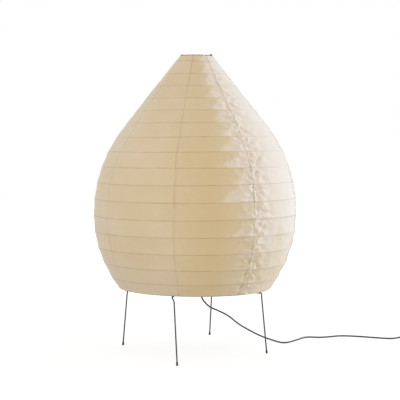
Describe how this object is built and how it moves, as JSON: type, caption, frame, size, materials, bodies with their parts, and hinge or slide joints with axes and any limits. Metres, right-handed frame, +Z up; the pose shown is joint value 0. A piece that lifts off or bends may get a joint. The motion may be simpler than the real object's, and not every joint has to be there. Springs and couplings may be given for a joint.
{
  "type": "paper lantern floor lamp",
  "caption": "Floor lamp with a teardrop paper shade on bamboo hoops over a crossed wire stand, with lampholder, bulb, cord, inline switch and plug.",
  "frame": {"origin": "on the floor, on the lamp's axis", "axes": "+Z up, along the lamp's axis; the front of the lamp faces -Y; the cord leaves towards +X"},
  "size_m": [1.1862, 0.637, 0.9297],
  "materials": {
    "paper": "hand-made paper, matt, faintly mottled",
    "bamboo": "split bamboo",
    "wire_dark": "dark grey lacquer",
    "steel": "zinc plated",
    "brass": "satin",
    "rubber": "matt black",
    "black_plastic": "fine matt",
    "rocker": "semi-gloss",
    "white_plastic": "satin white",
    "porcelain": "unglazed white",
    "diffuser": "opal",
    "cord": "matt black",
    "tie": "woven hook-and-loop strap"
  },
  "bodies": {
    "stand": {"left_leg": "wire_dark", "right_leg": "wire_dark", "lower_pivot_disc": "wire_dark", "stand_tips": "rubber", "threaded_nipple": "steel", "nipple_nuts": "steel", "spring_washer": "steel", "post_bracket": "wire_dark", "holder_cap": "black_plastic", "holder_shell": "black_plastic", "holder_insert": "porcelain", "holder_sleeve": "brass", "centre_contact": "brass", "cord_gland": "rubber", "cord_to_switch": "cord", "cord_to_coil": "cord", "cord_coil": "cord", "coil_tie": "tie", "switch_base": "black_plastic", "switch_cover": "black_plastic", "plug_body": "black_plastic", "plug_pins": "steel"},
    "cross_legs": {"front_leg": "wire_dark", "back_leg": "wire_dark", "upper_pivot_disc": "wire_dark", "cross_tips": "rubber"},
    "shade": {"top_ring": "wire_dark", "left_post": "wire_dark", "right_post": "wire_dark", "gore_1": "paper", "gore_2": "paper", "gore_3": "paper", "gore_4": "paper", "gore_5": "paper", "gore_6": "paper", "gore_7": "paper", "gore_8": "paper"},
    "shade_bottom": {"bottom_ring": "wire_dark"},
    "hoop_body_01": {"hoop_01": "bamboo"},
    "hoop_body_02": {"hoop_02": "bamboo"},
    "hoop_body_03": {"hoop_03": "bamboo"},
    "hoop_body_04": {"hoop_04": "bamboo"},
    "hoop_body_05": {"hoop_05": "bamboo"},
    "hoop_body_06": {"hoop_06": "bamboo"},
    "hoop_body_07": {"hoop_07": "bamboo"},
    "hoop_body_08": {"hoop_08": "bamboo"},
    "hoop_body_09": {"hoop_09": "bamboo"},
    "hoop_body_10": {"hoop_10": "bamboo"},
    "hoop_body_11": {"hoop_11": "bamboo"},
    "hoop_body_12": {"hoop_12": "bamboo"},
    "hoop_body_13": {"hoop_13": "bamboo"},
    "hoop_body_14": {"hoop_14": "bamboo"},
    "hoop_body_15": {"hoop_15": "bamboo"},
    "hoop_body_16": {"hoop_16": "bamboo"},
    "bulb": {"bulb_diffuser": "diffuser", "bulb_collar": "white_plastic", "bulb_cap": "steel", "bulb_tip": "steel"},
    "rocker": {"switch_rocker": "rocker"}
  },
  "joints": [
    {"name": "leg_fold", "type": "hinge", "parent": "stand", "child": "cross_legs", "pos_m": [0, 0, 0.2024], "axis": [0, 0, 1], "range_deg": [0, 70]},
    {"name": "shade_lift", "type": "slide", "parent": "stand", "child": "shade", "axis": [0, 0, 1], "range_m": [0, 0.25]},
    {"name": "shade_gather", "type": "slide", "parent": "shade", "child": "shade_bottom", "axis": [0, 0, 1], "range_m": [0, 0.68], "deforming": ["gore_1", "gore_2", "gore_3", "gore_4", "gore_5", "gore_6", "gore_7", "gore_8"]},
    {"name": "hoop_rise_01", "type": "slide", "parent": "shade", "child": "hoop_body_01", "axis": [0, 0, 1], "range_m": [0, 0.01898]},
    {"name": "hoop_rise_02", "type": "slide", "parent": "shade", "child": "hoop_body_02", "axis": [0, 0, 1], "range_m": [0, 0.05466]},
    {"name": "hoop_rise_03", "type": "slide", "parent": "shade", "child": "hoop_body_03", "axis": [0, 0, 1], "range_m": [0, 0.09033]},
    {"name": "hoop_rise_04", "type": "slide", "parent": "shade", "child": "hoop_body_04", "axis": [0, 0, 1], "range_m": [0, 0.12601]},
    {"name": "hoop_rise_05", "type": "slide", "parent": "shade", "child": "hoop_body_05", "axis": [0, 0, 1], "range_m": [0, 0.16168]},
    {"name": "hoop_rise_06", "type": "slide", "parent": "shade", "child": "hoop_body_06", "axis": [0, 0, 1], "range_m": [0, 0.19736]},
    {"name": "hoop_rise_07", "type": "slide", "parent": "shade", "child": "hoop_body_07", "axis": [0, 0, 1], "range_m": [0, 0.23624]},
    {"name": "hoop_rise_08", "type": "slide", "parent": "shade", "child": "hoop_body_08", "axis": [0, 0, 1], "range_m": [0, 0.27814]},
    {"name": "hoop_rise_09", "type": "slide", "parent": "shade", "child": "hoop_body_09", "axis": [0, 0, 1], "range_m": [0, 0.32258]},
    {"name": "hoop_rise_10", "type": "slide", "parent": "shade", "child": "hoop_body_10", "axis": [0, 0, 1], "range_m": [0, 0.36894]},
    {"name": "hoop_rise_11", "type": "slide", "parent": "shade", "child": "hoop_body_11", "axis": [0, 0, 1], "range_m": [0, 0.41657]},
    {"name": "hoop_rise_12", "type": "slide", "parent": "shade", "child": "hoop_body_12", "axis": [0, 0, 1], "range_m": [0, 0.46482]},
    {"name": "hoop_rise_13", "type": "slide", "parent": "shade", "child": "hoop_body_13", "axis": [0, 0, 1], "range_m": [0, 0.51296]},
    {"name": "hoop_rise_14", "type": "slide", "parent": "shade", "child": "hoop_body_14", "axis": [0, 0, 1], "range_m": [0, 0.56017]},
    {"name": "hoop_rise_15", "type": "slide", "parent": "shade", "child": "hoop_body_15", "axis": [0, 0, 1], "range_m": [0, 0.60561]},
    {"name": "hoop_rise_16", "type": "slide", "parent": "shade", "child": "hoop_body_16", "axis": [0, 0, 1], "range_m": [0, 0.64847]},
    {"name": "bulb_removal", "type": "slide", "parent": "stand", "child": "bulb", "axis": [0, 0, 1], "range_m": [0, 0.03]},
    {"name": "rocker_press", "type": "hinge", "parent": "stand", "child": "rocker", "pos_m": [0.742, 0.214, 0.0148], "axis": [0, 1, 0], "range_deg": [-16, 0]}
  ],
  "couplings": [
    {"joint": "hoop_rise_01", "follows": "shade_gather", "ratio": 0.02718},
    {"joint": "hoop_rise_02", "follows": "shade_gather", "ratio": 0.07964},
    {"joint": "hoop_rise_03", "follows": "shade_gather", "ratio": 0.1321},
    {"joint": "hoop_rise_04", "follows": "shade_gather", "ratio": 0.18457},
    {"joint": "hoop_rise_05", "follows": "shade_gather", "ratio": 0.23703},
    {"joint": "hoop_rise_06", "follows": "shade_gather", "ratio": 0.2895},
    {"joint": "hoop_rise_07", "follows": "shade_gather", "ratio": 0.34667},
    {"joint": "hoop_rise_08", "follows": "shade_gather", "ratio": 0.4083},
    {"joint": "hoop_rise_09", "follows": "shade_gather", "ratio": 0.47365},
    {"joint": "hoop_rise_10", "follows": "shade_gather", "ratio": 0.54182},
    {"joint": "hoop_rise_11", "follows": "shade_gather", "ratio": 0.61187},
    {"joint": "hoop_rise_12", "follows": "shade_gather", "ratio": 0.68282},
    {"joint": "hoop_rise_13", "follows": "shade_gather", "ratio": 0.75362},
    {"joint": "hoop_rise_14", "follows": "shade_gather", "ratio": 0.82305},
    {"joint": "hoop_rise_15", "follows": "shade_gather", "ratio": 0.88987},
    {"joint": "hoop_rise_16", "follows": "shade_gather", "ratio": 0.95289}
  ]
}
